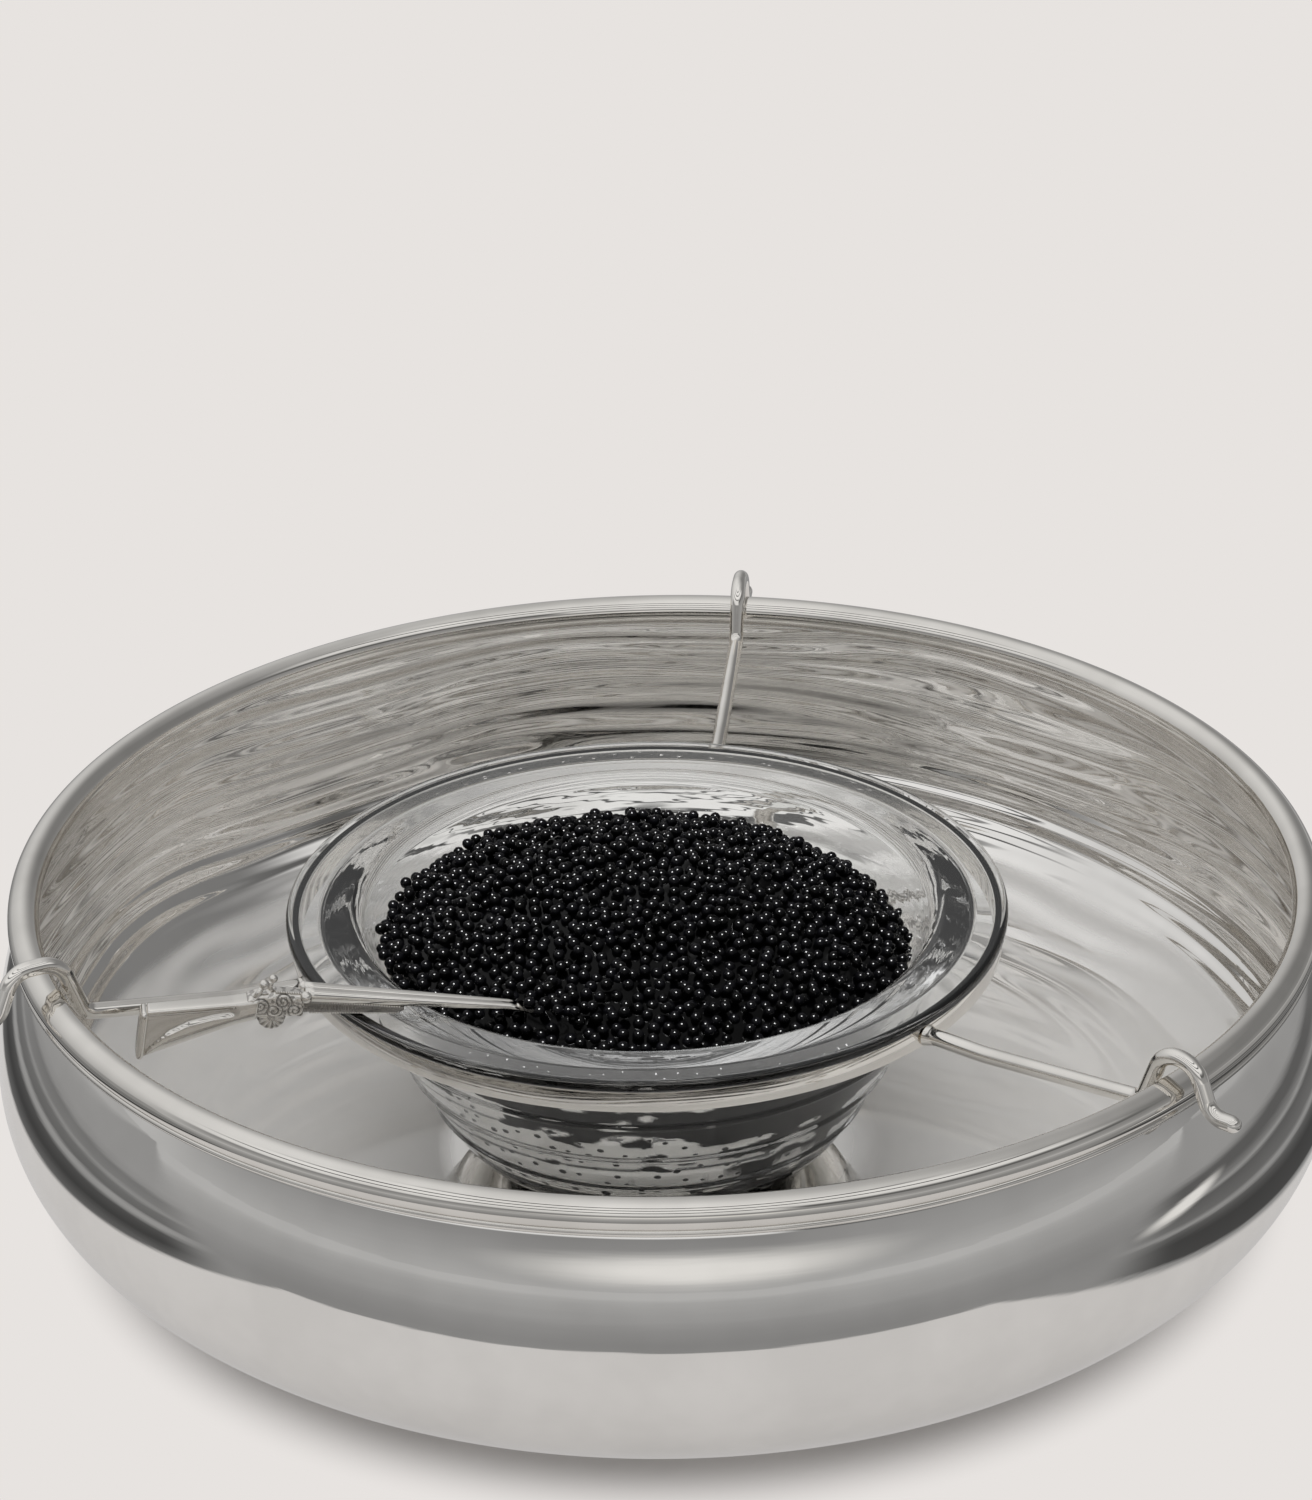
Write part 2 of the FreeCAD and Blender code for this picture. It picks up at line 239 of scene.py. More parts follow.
def lathe(profile, steps, closed):
    """A bmesh turned about the upright axis from its profile (radius, height)."""
    bm = bmesh.new()
    verts = [bm.verts.new((r * MM, 0, z * MM)) for r, z in without_repeats(profile)]
    edges = [bm.edges.new(pair) for pair in zip(verts, verts[1:])]
    if closed:
        edges.append(bm.edges.new((verts[-1], verts[0])))
    bmesh.ops.spin(bm, geom=verts + edges, axis=(0, 0, 1), cent=(0, 0, 0), angle=2 * math.pi,
                   steps=steps, use_merge=True)
    bmesh.ops.remove_doubles(bm, verts=bm.verts, dist=1e-6)
    bmesh.ops.recalc_face_normals(bm, faces=bm.faces)
    return bm


def joined(batches):
    """One bmesh from several."""
    whole = bmesh.new()
    for batch in batches:
        held = bpy.data.meshes.new("batch")
        batch.to_mesh(held)
        batch.free()
        whole.from_mesh(held)
        bpy.data.meshes.remove(held)
    return whole


def piece(bm, name, finish, replaces=()):
    """The bmesh as a finished piece of the object, riding on its one body."""
    mesh = bpy.data.meshes.new(name)
    bm.to_mesh(mesh)
    bm.free()
    mesh.shade_smooth()
    mesh.materials.append(finish)
    made = bpy.data.objects.new(name, mesh)
    bpy.context.scene.collection.objects.link(made)
    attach(made, "root")
    if replaces:
        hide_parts(*replaces)
    return made


# The bowl: two skins turned from the same three arcs, with the waves that spinning leaves inside

def bowl_skin(inset, fineness):
    """The profile of one skin from the base to the neck."""
    across, up = belly_radius - neck_radius, rim_height - seat_down - belly_height
    upper = (across ** 2 + up ** 2) / (2 * across)
    wide = belly_radius - base_radius
    flatter = ((wide - turn_in) ** 2 + belly_height ** 2 - turn_in ** 2) / (2 * (belly_height - turn_in))
    side, foot = (belly_radius - turn_in, belly_height), (base_radius, flatter)
    low = math.degrees(math.atan2(side[1] - foot[1], side[0] - foot[0]))
    top = math.degrees(math.asin(up / (upper - inset)))
    return (arc(foot, flatter - inset, -90, low, 22 * fineness)
            + arc(side, turn_in - inset, low, 0, 12 * fineness)
            + arc((belly_radius - upper, belly_height), upper - inset, 0, top, 18 * fineness))


def flat_disc(height, inwards):
    """The flat middle of one skin. Only the upper side has the film, so only its rings are close."""
    close = [46 + 1.4 * i for i in range(31)] if inwards else [46, 50, 54, 58, 66, 78]
    line = [(r, height) for r in [0, 20, 34, 42] + close]
    return line[::-1] if inwards else line


underside = flat_disc(0, False) + bowl_skin(0, 1)
inside = bowl_skin(sheet, 3)[::-1] + flat_disc(sheet, True)
bowl = lathe(underside + inside, 360, False)
bowl.normal_update()
# the film's share on each vertex, with painted reflection bands in rings behind the dish
film_and_painted_bands = bowl.verts.layers.float.new("film_and_painted_bands")


def smooth(value, low, high):
    """0 below low, 1 above high, eased between."""
    share = min(1, max(0, (value - low) / (high - low)))
    return share * share * (3 - 2 * share)


def spinning_marks(x, y, along):
    """Height of the waves that the spinner's tool left, round the bowl and wandering a little."""
    wander = noise.noise(Vector((x / 70, y / 70, along / 30)))
    strength = 0.75 + 0.9 * noise.noise(Vector((x / 55 + 20, y / 55, along / 12)))
    rings = math.cos(2 * math.pi * (along / wave_apart + 1.1 * wander))
    curls = noise.noise(Vector((x / 40, y / 40, along / 3.4)))
    fine = noise.noise(Vector((x / 28, y / 28, along / 1.8 + 40)))
    return wave_rise * strength * rings + curl_rise * curls + fine_rise * fine


for vert in bowl.verts:
    x, y, z = (c / MM for c in vert.co)
    radius = math.hypot(x, y)
    inner = z > sheet - 0.01 and (vert.normal.x * x + vert.normal.y * y < 0 or radius <= base_radius)
    if inner and z < 20:
        edge = smooth(z, 12.2, 14.2) if radius > base_radius else 0
        film = film_share
        # behind the dish the film thins out in rings, a painted reflection: rings of pale matt film and bare
        # mirror set to match the light and dark bands seen there
        wander = 0.6 * noise.noise(Vector((x / 30, y / 30, 3)))
        rings = 0.5 + 0.5 * math.cos(2 * math.pi * (radius / wave_apart + wander))
        film += (painted_band_film_least + painted_band_film_swing * rings - film) * smooth(y, 40, 70)
        vert[film_and_painted_bands] = (1 - edge) * smooth(math.hypot(x - ring_shift, y), 38, 43) * film
    if radius < base_radius or z > waves_end:
        continue
    fade = min(1, (radius - base_radius) / 8) * min(1, (waves_end - z) / 2.5)
    if inner:
        along = z if z > belly_height else z - 0.8 * (belly_radius - radius)
        push = spinning_marks(x, y, along) * (0.25 + 0.75 * smooth(along, 2, 14))
    else:
        push = outer_rise * noise.noise(Vector((x / 60, y / 60, z / 22 + 9)))
    vert.co += vert.normal * (push * fade * MM)
piece(bowl, "bowl", bowl_silver, ["ice_bowl"])

# The rim: a bead and the thin wire under it, each a ring turned from a small circle
bead = lathe(arc((rim_radius, rim_height), bead_radius, 0, 352, 44), 360, True)
piece(bead, "rim_bead", rim_silver, ["rim_mount"])
wire = lathe(arc((rim_radius + wire_out, rim_height - wire_down), wire_radius, 0, 340, 17), 360, True)
piece(wire, "rim_wire", rim_silver)

# The arms and the blade stay as they are in the frame
for name in ("arm_back", "arm_left", "arm_right", "spreader_blade"):
    frame["nodes"][name].data.materials.clear()
    frame["nodes"][name].data.materials.append(rod_silver)

# The holder's band, with eased edges
band_low, band_in = ring_top - ring_tall, ring_radius - ring_thick
band_profile = []
for number, corner in enumerate([
        (ring_radius - band_ease, ring_top - band_ease), (band_in + band_ease, ring_top - band_ease),
        (band_in + band_ease, band_low + band_ease), (ring_radius - band_ease, band_low + band_ease)]):
    band_profile += arc(corner, band_ease, 90 * number, 90 * number + 90, 4)
band = lathe(band_profile, 256, True)
bmesh.ops.translate(band, verts=band.verts, vec=(ring_shift * MM, 0, 0))
piece(band, "holder_band", band_silver, ["holder_ring"])


# The glass dish, thick and solid between its cone and its well

def cone_at(height):
    """Radius of the dish's outside at that height."""
    return cone_radius + cone_slope * (height - cone_height)


def well_at(height):
    """Radius of the dish's inside at that height."""
    return cone_radius - glass_top + well_slope * (height - cone_height)


def rounded(corners):
    """The corners (x, z, radius) as a closed line, each corner turned by its radius."""
    line = []
    for i, (x, z, radius) in enumerate(corners):
        here = Vector((x, z))
        back = (Vector(corners[i - 1][:2]) - here).normalized()
        ahead = (Vector(corners[(i + 1) % len(corners)][:2]) - here).normalized()
        if radius == 0:
            line.append((x, z))
            continue
        half = back.angle(ahead) / 2
        centre = here + (back + ahead).normalized() * radius / math.sin(half)
        first = here + back * radius / math.tan(half) - centre
        last = here + ahead * radius / math.tan(half) - centre
        for step in range(11):
            way = first.slerp(last, step / 10) * radius
            line.append(tuple(centre + way))
    return line


def with_ridges(line):
    """The dish's outline with its three moulded ridges, each a small round swelling on the cone."""
    made = []
    for start, end in zip(line, line[1:]):
        made.append(start)
        on_cone = all(abs(x - cone_at(z)) < 0.01 for x, z in (start, end))
        if on_cone and end[1] - start[1] > 5:
            count = int((end[1] - start[1]) / 0.35)
            for i in range(1, count):
                z = start[1] + (end[1] - start[1]) * i / count
                out = cone_at(z)
                for height in ridge_heights:
                    lift = (0.7 + ridge_size) ** 2 - (z - height) ** 2
                    if lift > 0:
                        out = max(out, cone_at(height) - 0.7 + math.sqrt(lift))
                made.append((out, z))
    return made + line[-1:]


well_line = rounded([
    (well_at(rim_top - 1.1), rim_top - 1.1, 0), (well_at(well_floor), well_floor, 12.0), (0, well_floor, 0),
])
dish_profile = with_ridges(rounded([
    (0, dish_base, 0), (cone_at(dish_base), dish_base, 14.5), (cone_at(ring_top), ring_top, 1.5),
    (dish_radius, ring_top, 0.6), (dish_radius, rim_top, 1.0), (well_at(rim_top - 1.1), rim_top - 1.1, 4.0),
    (well_at(well_floor), well_floor, 12.0), (0, well_floor, 0),
]))
dish = lathe(dish_profile, 256, False)
bmesh.ops.translate(dish, verts=dish.verts, vec=(ring_shift * MM, 0, 0))
piece(dish, "dish", glass_material, ["glass_dish"])


# The spreader: a cast handle like a sporting gun, in its own axes as in the source. x runs along
# the barrels to the tip, z is up, and the camera sees the side of negative y.

to_place = (Matrix.Translation(Vector(breech) * MM) @ Matrix.Rotation(math.radians(turn), 4, "Z")
            @ Matrix.Rotation(math.radians(dip), 4, "Y"))


def along_line(x, points):
    """Height at x of the line through the points."""
    for (x0, z0), (x1, z1) in zip(points, points[1:]):
        if x <= x1:
            return z0 + (z1 - z0) * max(0, x - x0) / (x1 - x0)
    return points[-1][1]


def square_round(share, sharpness):
    """A point of a rounded square from -1 to 1, that share of the way round it."""
    side, part = divmod(share * 4, 1)
    place = 2 * part - 1
    y, z = [(1, place), (-place, 1), (-1, -place), (place, -1)][int(side) % 4]
    size = (abs(y) ** sharpness + abs(z) ** sharpness) ** (1 / sharpness)
    return y / size, z / size


def skin(shape, along, around):
    """A closed skin rolled from a grid: shape gives x, y, z and the depth of its cuts at each
    share of the way along and around, and the two ends are filled."""
    bm = bmesh.new()
    bmesh.ops.create_grid(bm, x_segments=along, y_segments=around, size=0.5)
    cuts = bm.verts.layers.float.new("cuts")
    for vert in bm.verts:
        x, y, z, vert[cuts] = shape(vert.co.x + 0.5, vert.co.y + 0.5)
        vert.co = Vector((x, y, z)) * MM
    bmesh.ops.remove_doubles(bm, verts=bm.verts, dist=1e-7)
    bmesh.ops.holes_fill(bm, edges=bm.edges, sides=0)
    bmesh.ops.recalc_face_normals(bm, faces=bm.faces)
    return bm


def scrolls(x, z, centres):
    """Leaf scrolls cut round the centres (x, z, turning), 0 on the ground and 1 in a cut."""
    deepest = 0
    for middle_x, middle_z, turning in centres:
        out = math.hypot(x - middle_x, z - middle_z)
        round_it = math.atan2(z - middle_z, x - middle_x)
        wave = math.cos(2 * math.pi * out / 0.8 + turning * round_it)
        deepest = max(deepest, smooth(wave, 0.1, 0.9) * (1 - smooth(out, 1.5, 2.1)))
    return deepest


def stock(share, around):
    """The broad stock, hollowed over a line that sweeps up from the toe of the butt."""
    x = -28.0 + 19.6 * share
    top = along_line(x, [(-28, -5.0), (-12.8, -2.3), (-8.4, -1.2)])
    low = along_line(x, [butt_line, (-12.4, -7.1), (-8.4, -5.6)])
    y, z = square_round(around, 4.5)
    z = (top + low) / 2 + z * (top - low) / 2
    sweep = along_line(x, [butt_line, (-26.6, -12.6), (-24, -9.9), (-20.5, -7.6), (-16, -5.9), (-12, -5.0),
                           (-8, -4.6)])
    below_top = 1 - smooth(z, top - 1.5, top - 0.5)
    hollow = smooth(z - sweep, -0.1, 0.9) * below_top * (1 - smooth(x, -13.5, -11.5))
    return x, y * (2.2 - 0.75 * hollow), z, 0.15 * hollow


def butt(share, around):
    """The plate that closes the stock's broad end."""
    x = -29.2 + 1.3 * share
    y, z = square_round(around, 6)
    ease = 1 - 0.12 * abs(2 * share - 1) ** 3
    return x, 2.45 * y * ease, -10.35 + 5.05 * z * ease, 0


def action(share, around):
    """The engraved action, with raised scrolls on both sides and beading along its top."""
    x = -10.4 + 10.4 * share
    top = along_line(x, [(-10.4, -1.5), (-8.6, -0.5), (-5.5, 0.1), (0, 0.2)])
    low = along_line(x, [(-10.4, -5.5), (-8.6, -5.2), (0, -4.5)])
    y, z = square_round(around, 4)
    z = (top + low) / 2 + z * (top - low) / 2
    cut = scrolls(x, z, [(-8.0, -2.6, 1), (-5.4, -3.4, -1), (-3.9, -1.4, 1), (-1.6, -3.0, -1)])
    cut = max(cut, 0.6 * smooth(noise.noise(Vector((x * 1.6, y * 2, z * 1.6))), 0.05, 0.3))
    return x, y * (2.05 - 0.22 * cut), z, 0.75 * cut


def fore_end(share, around):
    """The fore-end, chequered with fine slanting cuts."""
    x = -0.6 + 19.0 * share
    y, z = square_round(around, 4)
    low = along_line(x, fore_end_low)
    z = (low - 0.9) / 2 + z * (-0.9 - low) / 2
    grid = math.cos(2 * math.pi * (x + 1.2 * z) / 0.62) * math.cos(2 * math.pi * (x - 1.2 * z) / 0.62)
    cut = smooth(grid, -0.2, 0.5)
    return x, y * (1.75 - 0.15 * cut), z, 0.55 + 0.35 * cut


def guard(share, around):
    """The round guard under the action, fluted like a shell."""
    radius = along_line(share, [(0, 0), (0.4, 2.5), (0.6, 2.5), (1, 0)])
    y = along_line(share, [(0, -1.1), (0.35, -1.15), (0.5, 0), (0.65, 1.15), (1, 1.1)])
    angle = 2 * math.pi * around
    flute = (0.5 + 0.5 * math.cos(13 * angle)) * smooth(radius, 0.6, 2.0)
    out = radius + 0.15 * flute
    return -5.5 + out * math.cos(angle), y * (1 - 0.16 * flute), -5.2 + out * math.sin(angle), 0.65 * flute


def barrel(side):
    """One of the two tubes, which taper and draw together towards the tip."""
    def shape(share, around):
        x = 39.8 * share
        angle = 2 * math.pi * around
        radius = 1.35 + (0.65 - 1.35) * share
        # the tip is cut on a slant
        if share > 0.999:
            x -= 1.2 * math.sin(angle)
        return x, side * 1.1 * (1 - 0.35 * share) + radius * math.cos(angle), radius * math.sin(angle), 0
    return shape


def rib(share, around):
    """The flat rib between the tubes."""
    y, z = square_round(around, 6)
    return 39.4 * share, 0.75 * y, 0.15 + 0.75 * z * (1 - 0.5 * share), 0


def ball(x, y, z, radius):
    bm = bmesh.new()
    bmesh.ops.create_uvsphere(bm, u_segments=20, v_segments=12, radius=radius * MM,
                              matrix=Matrix.Translation(Vector((x, y, z)) * MM))
    return bm


def post(start, end, radius):
    """A short round post, such as a hammer's."""
    bm = bmesh.new()
    line = (Vector(end) - Vector(start)) * MM
    middle = Matrix.Translation((Vector(end) + Vector(start)) / 2 * MM)
    lie = middle @ line.to_track_quat("Z", "Y").to_matrix().to_4x4()
    bmesh.ops.create_cone(bm, cap_ends=True, segments=16, radius1=radius * MM, radius2=radius * 0.7 * MM,
                          depth=line.length, matrix=lie)
    return bm


details = [skin(stock, 70, 72), skin(butt, 12, 48), skin(action, 90, 112), skin(fore_end, 150, 72)]
details += [skin(guard, 36, 104), skin(barrel(-1), 24, 24), skin(barrel(1), 24, 24), skin(rib, 8, 24)]
details += [ball(0.2, -2.0, -0.1, 1.15), ball(0.2, 2.0, -0.1, 1.15)]
details += [ball(-7.6, -1.1, 1.5, 0.95), ball(-5.8, 1.0, 1.7, 0.8)]
details += [post((-9.2, -1.1, -2.0), (-7.7, -1.1, 1.3), 0.62), post((-6.6, 1.0, -0.8), (-5.9, 1.0, 1.5), 0.6),
            post((38.6, 0, -0.1), (42.6, -0.3, -0.5), 0.62)]
for number in range(36):
    x = 1.4 + 0.46 * number
    low = along_line(x, fore_end_low)
    details += [ball(x, -1.72, -1.0, 0.2), ball(x, -1.45, low + 0.1, 0.2)]
for number in range(12):
    details.append(ball(-5.2 + 0.44 * number, -1.3, 0.25, 0.22))
spreader = joined(details)
bmesh.ops.transform(spreader, matrix=to_place, verts=spreader.verts)
piece(spreader, "spreader", engraved_silver, ["spreader_handle"])


# The roe: a dark mass that wets the glass in patches, and the pearls round it

def dome_at(x, y):
    """Height of the heap's plain dome, which leans a little to one side."""
    return heap_top - heap_curve + math.sqrt(heap_curve ** 2 - math.hypot(x + heap_lean, y) ** 2)


mounds = []
for number in range(mound_count):
    out, turned = mound_apart * math.sqrt(number + 0.5), math.radians(137.5 * number)
    x, y = out * math.cos(turned), out * math.sin(turned)
    mounds.append((x, y, dome_at(x, y) + mound_rise * (0.75 + 0.25 * (number % 3)) - mound_round))


def dome_height(x, y):
    """Height of the heap's top at x, y from the dish's middle, its low mounds included."""
    top = dome_at(x, y)
    for mound_x, mound_y, middle in mounds:
        reach = mound_round ** 2 - (x - mound_x) ** 2 - (y - mound_y) ** 2
        if reach > 0:
            top = max(top, middle + math.sqrt(reach))
    return top


def over_blade(x, y, margin):
    """Height of the blade's middle at x, y, or 0 where it isn't within that margin."""
    from_breech = Vector((x + ring_shift - breech[0], y - breech[1]))
    heading = Vector((math.cos(math.radians(turn)), math.sin(math.radians(turn))))
    along = from_breech.dot(heading) / math.cos(math.radians(dip))
    across = abs(from_breech.cross(heading))
    if 40.9 < along < 64.6 and across < min(4.0, (along - 39.8) * 0.6) + margin:
        return breech[2] - along * math.sin(math.radians(dip))
    return 0


def wets_glass(x, y, z):
    """1 where the roe lies wet against the glass, 0 where air is between them."""
    facing = math.degrees(math.atan2(x, -y))
    upper = smooth(facing, -38, -26) * (1 - smooth(facing, 50, 65)) * smooth(z, 27, 33)
    right_side = smooth(facing, 12, 24) * (1 - smooth(facing, 60, 80))
    bias = -0.45 + 0.75 * upper + 0.44 * right_side
    broad = noise.noise(Vector((x / 9, y / 9, z / 3.4)))
    small = 0.35 * noise.noise(Vector((x / 3.5, y / 3.5, z / 1.8 + 30)))
    return smooth(broad + small + bias, -0.03, 0.05)


heap_side = well_at(heap_wall) - 0.5
# close rings on the top and down the glass, then the well's own bottom
top_line = [(0.9 * i, 57) for i in range(int((heap_side - 2) / 0.9))] + [(heap_side - 2, 57)]
side_line = [(well_at(z), z) for z in [heap_wall - 0.4 * i for i in range(65)]]
bottom_line = [point for point in well_line if point[1] < side_line[-1][1]]
core = lathe(top_line + side_line + bottom_line, 400, False)
core.normal_update()
painted_mirror_share = core.verts.layers.float.new("painted_mirror_share")
for vert in core.verts:
    x, y, z = (c / MM for c in vert.co)
    if z > heap_wall + 0.1:
        vert.co.z = max(dome_height(x, y) - 2.0, over_blade(x, y, 0.8) + 0.8) * MM
    elif z > heap_wall - 0.5:
        vert.co -= Vector((x, y, 0)).normalized() * 1.5 * MM
    elif z > well_floor + 0.1:
        wet = wets_glass(x, y, z)
        vert.co -= vert.normal * (0.10 - 0.22 * wet) * MM
        # the share of the roe's painted mirror, where air lies between it and the glass
        vert[painted_mirror_share] = 1 - wet
    else:
        vert.co.z += 0.6 * MM
bmesh.ops.translate(core, verts=core.verts, vec=(ring_shift * MM, 0, 0))
piece(core, "roe_core", roe_material, ["roe_heap"])

spots = []
cells = {}


def place_pearl(x, y, z, apart):
    """Keeps the spot unless a pearl in its own or a neighbouring cell lies nearer than apart. A
    wide spacing can so miss a pearl two cells away, which only makes the spacing less even."""
    cell = (int(x // cell_size), int(y // cell_size), int(z // cell_size))
    for i in (-1, 0, 1):
        for j in (-1, 0, 1):
            for k in (-1, 0, 1):
                for other in cells.get((cell[0] + i, cell[1] + j, cell[2] + k), ()):
                    if math.dist(other, (x, y, z)) < apart:
                        return
    cells.setdefault(cell, []).append((x, y, z))
    spots.append((x, y, z))


# on the heap's top, then round its edge, then against the glass
for attempt in range(top_tries):
    out = (heap_side + 0.3) * math.sqrt(chance.random())
    way = chance.uniform(0, 2 * math.pi)
    x, y = out * math.cos(way), out * math.sin(way)
    lift = chance.uniform(-1.9, -0.5) if attempt % 9 else chance.uniform(-0.5, 0.4)
    place_pearl(x, y, max(dome_height(x, y), over_blade(x, y, 2.0) + 3.4) - 0.5 + lift, pearl_size * 0.92)
for attempt in range(side_tries):
    way = chance.uniform(0, 2 * math.pi)
    z = chance.uniform(40, 50.5)
    out = well_at(z) - 1.62
    x, y = out * math.cos(way), out * math.sin(way)
    if z < dome_height(x, y) - 0.5:
        place_pearl(x, y, z, pearl_size * 0.93)
for attempt in range(glass_tries):
    way = chance.uniform(0, 2 * math.pi)
    z = 14.4 + 27 * chance.random() ** 0.8
    lean = math.atan(well_slope)
    out = well_at(z) - pearl_size / 2 / math.cos(lean) + 0.16
    x, y = out * math.cos(way), out * math.sin(way)
    place_pearl(x, y, z, pearl_size * chance.uniform(0.95, 1.7 if y < 0 else 2.6))

groups = []
for first in range(0, len(spots), batch_of):
    batch = bmesh.new()
    for x, y, z in spots[first:first + batch_of]:
        size = pearl_size * chance.uniform(0.94, 1.04) / 2 * MM
        here = Matrix.Translation(((x + ring_shift) * MM, y * MM, z * MM))
        spin = Matrix.Rotation(chance.uniform(0, 6.28), 4, "Z")
        spin = spin @ Matrix.Rotation(chance.uniform(0, 3.14), 4, "X")
        squash = Matrix.Diagonal((1, 1, chance.uniform(0.92, 1), 1))
        bmesh.ops.create_icosphere(batch, subdivisions=2, radius=size, matrix=here @ spin @ squash)
    groups.append(batch)
for number in range(pearl_pieces):
    piece(joined(groups[number::pearl_pieces]), "roe_pearls_%d" % (number + 1), roe_material)


# The studio: pale floor, soft light, and what the silver sees of the room

def pale_floor():
    """A matt pale board. The silver and the glass don't mirror it as the camera sees it: for glossy
    rays it is a round lit board in a darker room, with stripes at both sides and a bright panel,
    placed and toned to match the reflections in the photograph."""
    made, tree, out = material("pale_board")
    ray = add(tree, "ShaderNodeLightPath")
    place = add(tree, "ShaderNodeTexCoord").outputs["Object"]
    grain = add(tree, "ShaderNodeTexNoise", Vector=place, Scale=1 / (4 * MM), Detail=2.0)
    colour = ramp(tree, grain.outputs["Fac"], [(0.3, linear("E4E2E1")), (0.7, linear("E6E4E3"))])
    board = add(tree, "ShaderNodeBsdfDiffuse", Color=colour)
    spot = add(tree, "ShaderNodeSeparateXYZ", Vector=place)
    x, y = spot.outputs["X"], spot.outputs["Y"]
    level = add(tree, "ShaderNodeCombineXYZ", X=x, Y=y)
    away = add(tree, "ShaderNodeVectorMath", {"operation": "LENGTH"}, i0=level.outputs[0]).outputs["Value"]

    def between(value, low, high, low_gives=0.0, high_gives=1.0):
        return add(tree, "ShaderNodeMapRange", {"interpolation_type": "SMOOTHSTEP"}, Value=value,
                   i1=low, i2=high, i3=low_gives, i4=high_gives).outputs[0]

    def times(first, second):
        return add(tree, "ShaderNodeMath", {"operation": "MULTIPLY"}, i0=first, i1=second).outputs[0]

    # the board as mirrors see it: round in front, cut straight at the left and the right
    on_board = times(times(between(away, 0.229, 0.2335, 1.0, 0.0), between(x, -0.170, -0.164)),
                     between(x, 0.136, 0.143, 1.0, 0.0))
    reach = add(tree, "ShaderNodeMapRange", Value=away, i1=0.2, i2=1.2, i3=0.0, i4=1.0).outputs[0]
    room = ramp(tree, reach, [(0.0, 0.29), (0.05, 0.27), (0.12, 0.31), (0.18, 0.355), (0.31, 0.38),
                              (0.69, 0.44), (1.0, 0.5)], "LINEAR")
    sides = add(tree, "ShaderNodeMapRange", Value=x, i1=-0.36, i2=0.36, i3=0.0, i4=1.0).outputs[0]
    stripes = ramp(tree, sides, [
        (0.0, 0.33), (0.06, 0.30), (0.09, 0.20), (0.135, 0.22), (0.15, 0.30), (0.165, 0.17),
        (0.192, 0.15), (0.202, 0.34), (0.212, 0.32), (0.222, 0.09), (0.245, 0.055), (0.268, 0.14),
        (0.275, 0.30),
        (0.70, 0.30), (0.702, 0.07), (0.727, 0.06), (0.742, 0.12), (0.748, 0.36), (0.757, 0.16), (0.79, 0.12),
        (0.80, 0.34), (0.81, 0.22), (0.835, 0.12), (0.872, 0.12), (0.90, 0.26), (0.93, 0.33)], "LINEAR")
    beside = times(between(y, -0.138, -0.092), between(y, 0.05, 0.22, 1.0, 0.35))
    dark = add(tree, "ShaderNodeMix", {"data_type": "RGBA"}, Factor=beside, i6=room, i7=stripes)
    # a bright panel far at the right
    from_panel = add(tree, "ShaderNodeMapping", {"vector_type": "TEXTURE"}, Vector=level.outputs[0],
                     Location=(0.222, -0.092, 0), Rotation=(0, 0, math.radians(48)), Scale=(0.036, 0.014, 1))
    near_panel = add(tree, "ShaderNodeVectorMath", {"operation": "LENGTH"},
                     i0=from_panel.outputs[0]).outputs["Value"]
    panel = add(tree, "ShaderNodeMix", {"data_type": "RGBA"}, Factor=between(near_panel, 0.4, 1.3, 1.0, 0.0),
                i6=dark.outputs[2], i7=(0.85, 0.84, 0.82, 1))
    mirrored = add(tree, "ShaderNodeMix", {"data_type": "RGBA"}, Factor=on_board, i6=panel.outputs[2],
                   i7=linear("D0CECD"))
    glow = add(tree, "ShaderNodeEmission", Color=mirrored.outputs[2], Strength=1.0)
    real_share = add(tree, "ShaderNodeMath", {"operation": "MULTIPLY_ADD"}, i0=on_board, i1=-0.3,
                     i2=1.0).outputs[0]
    part = times(real_share, ray.outputs["Is Glossy Ray"])
    mixed = add(tree, "ShaderNodeMixShader", Fac=part, i1=board.outputs[0], i2=glow.outputs[0])
    # the camera sees the board evenly lit beyond the bowl's own shadow
    lit = add(tree, "ShaderNodeEmission", Color=linear("E7E3E0"), Strength=1.0)
    open_board = times(between(away, 0.1045, 0.1235), ray.outputs["Is Camera Ray"])
    whole = add(tree, "ShaderNodeMixShader", Fac=open_board, i1=mixed.outputs[0], i2=lit.outputs[0])
    tree.links.new(whole.outputs[0], out.inputs["Surface"])
    return made


floor = bmesh.new()
bmesh.ops.create_grid(floor, x_segments=1, y_segments=1, size=8.0)
floor_mesh = bpy.data.meshes.new("floor")
floor.to_mesh(floor_mesh)
floor.free()
floor_mesh.materials.append(pale_floor())
floor_object = bpy.data.objects.new("floor", floor_mesh)
bpy.context.scene.collection.objects.link(floor_object)
floor_object.location.z = -0.05 * MM

